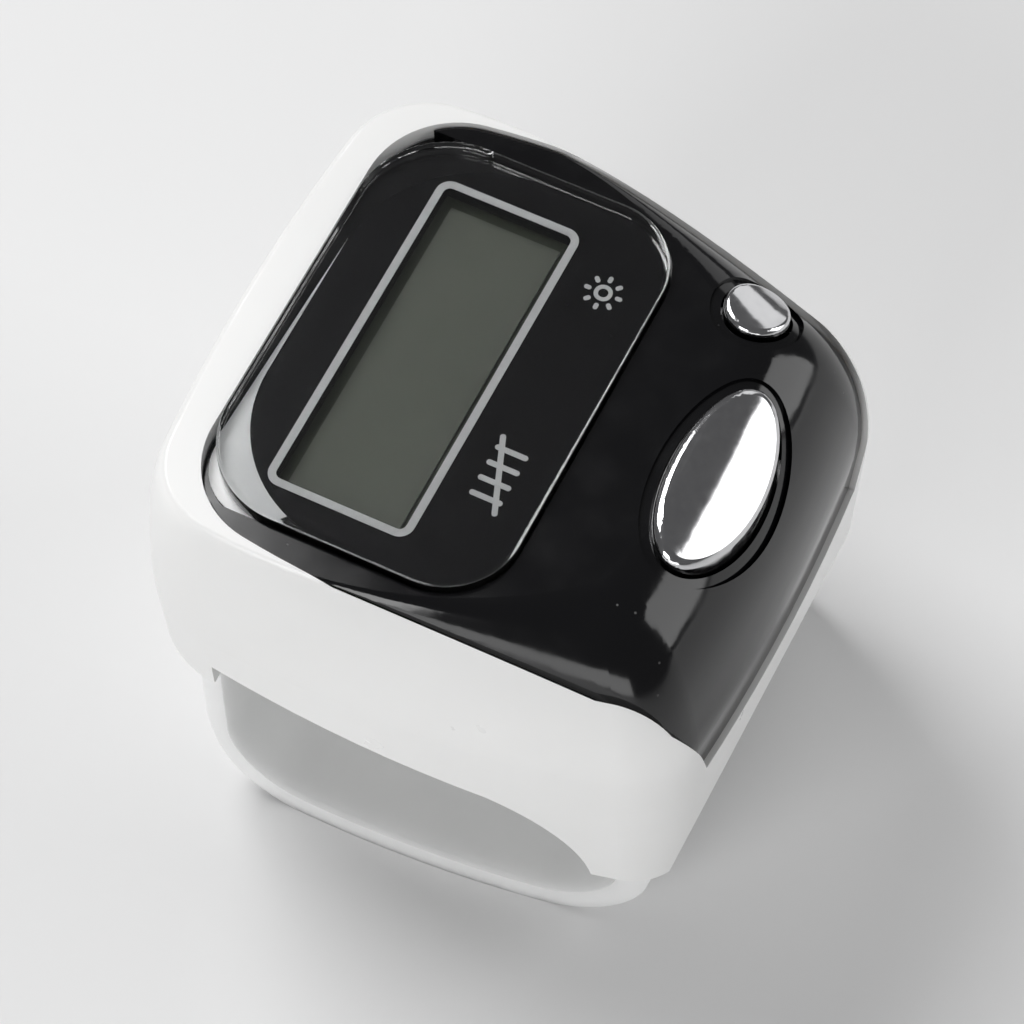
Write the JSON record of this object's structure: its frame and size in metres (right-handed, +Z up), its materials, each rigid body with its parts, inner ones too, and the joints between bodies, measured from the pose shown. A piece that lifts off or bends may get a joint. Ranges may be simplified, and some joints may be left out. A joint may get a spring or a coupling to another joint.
{
  "type": "finger tally counter",
  "caption": "Ring-shaped digital tally counter worn on a finger: white case, black face with a blank display window, an oval count button, a round light button and a U-shaped finger band.",
  "frame": {"origin": "on the ground, at the middle of the flat bottom of the finger band that the counter stands on, under the middle of the count button", "axes": "+X along the finger, in the reading direction of the display; +Y from the buttons to the display; +Z up, out of the face"},
  "size_m": [0.0304, 0.0313, 0.0299],
  "materials": {
    "band_plastic": "translucent white moulded plastic, satin",
    "case_plastic": "white moulded plastic, semi-gloss",
    "door_plastic": "white moulded plastic, semi-gloss",
    "shell_plastic": "black moulded plastic, high gloss",
    "lens_acrylic": "clear acrylic, polished",
    "mask_print": "black screen print on film",
    "button_chrome": "chrome plating on plastic, bright",
    "switch_body": "black glass-filled plastic",
    "switch_plunger": "cream plastic",
    "board_laminate": "green lacquered laminate",
    "white_sheet": "white film",
    "polariser_film": "grey polarising film",
    "guide_acrylic": "clear acrylic",
    "led_resin": "yellow phosphor resin",
    "display_glass": "greenish grey display glass",
    "strip_rubber": "layered conducting rubber",
    "holder_plastic": "white plastic",
    "chip_resin": "black resin drop",
    "resistor_body": "black ceramic chip",
    "capacitor_body": "tan ceramic chip",
    "contact_steel": "nickel-plated spring steel",
    "cell_steel": "nickel-plated steel",
    "screw_steel": "zinc-plated steel"
  },
  "bodies": {
    "case": {"lower_case": "case_plastic", "top_shell": "shell_plastic", "display_lens": "lens_acrylic", "printed_mask": "mask_print", "count_switch_base": "switch_body", "light_switch_base": "switch_body", "circuit_board": "board_laminate", "reflector_sheet": "white_sheet", "rear_polariser": "polariser_film", "light_guide": "guide_acrylic", "backlight_led": "led_resin", "lcd_panel": "display_glass", "front_polariser": "polariser_film", "zebra_strip": "strip_rubber", "lcd_holder": "holder_plastic", "chip_blob": "chip_resin", "led_resistor": "resistor_body", "filter_capacitor": "capacitor_body", "battery_door": "door_plastic", "battery_link": "contact_steel", "button_cell_left": "cell_steel", "button_cell_right": "cell_steel", "negative_contact": "contact_steel", "positive_contact": "contact_steel", "case_screw": "screw_steel", "board_screws": "screw_steel", "door_screw": "screw_steel"},
    "count_button": {"count_button": "button_chrome", "count_switch_plunger": "switch_plunger"},
    "light_button": {"light_button": "button_chrome", "light_switch_plunger": "switch_plunger"},
    "finger_band": {"finger_band": "band_plastic"}
  },
  "joints": [
    {"name": "count_press", "type": "slide", "parent": "case", "child": "count_button", "axis": [0, 0, -1], "range_m": [0, 0.0005], "stiffness_N_per_m": 1600},
    {"name": "light_press", "type": "slide", "parent": "case", "child": "light_button", "axis": [0, 0, -1], "range_m": [0, 0.0005], "stiffness_N_per_m": 1600},
    {"name": "band_adjust", "type": "slide", "parent": "case", "child": "finger_band", "axis": [0, 0, 1], "range_m": [0, 0.0025]}
  ]
}
